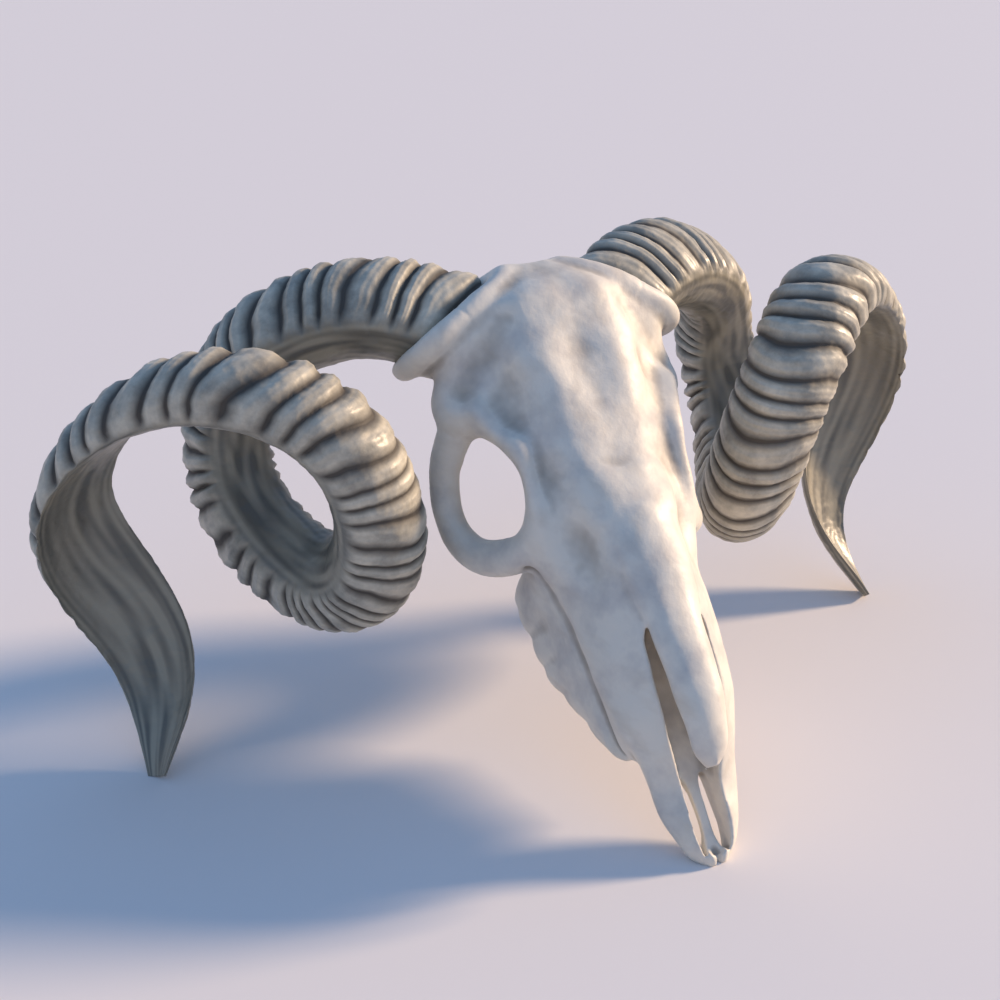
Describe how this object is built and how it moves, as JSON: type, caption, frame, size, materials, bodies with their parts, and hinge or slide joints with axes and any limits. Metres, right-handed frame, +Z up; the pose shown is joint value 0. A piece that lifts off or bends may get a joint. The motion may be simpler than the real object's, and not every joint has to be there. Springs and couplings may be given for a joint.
{
  "type": "ram skull",
  "caption": "Horned ram skull without its lower jaw, with heavy ridged curled horns, leaning nose down on its muzzle and horn tips.",
  "frame": {"origin": "on the floor under the middle of the skull's box", "axes": "+Z up from the floor, -Y the way the muzzle points, +X to the animal's left"},
  "size_m": [0.5182, 0.2881, 0.2391],
  "materials": {
    "bone": "dry bleached bone, smooth and matt, off-white with grey mottling",
    "horn": "dry keratin, half matt, beige and grey-olive with dark grooves between the ridges"
  },
  "bodies": {
    "root": {"cranium": "bone", "maxilla_left": "bone", "premaxilla_left": "bone", "nasal_left": "bone", "tooth_row_left": "bone", "eye_rim_left": "bone", "maxilla_right": "bone", "premaxilla_right": "bone", "nasal_right": "bone", "tooth_row_right": "bone", "eye_rim_right": "bone", "horn_left_1": "horn", "horn_left_2": "horn", "horn_left_3": "horn", "horn_left_4": "horn", "horn_left_5": "horn", "horn_left_6": "horn", "horn_right_1": "horn", "horn_right_2": "horn", "horn_right_3": "horn", "horn_right_4": "horn", "horn_right_5": "horn", "horn_right_6": "horn"}
  },
  "joints": []
}
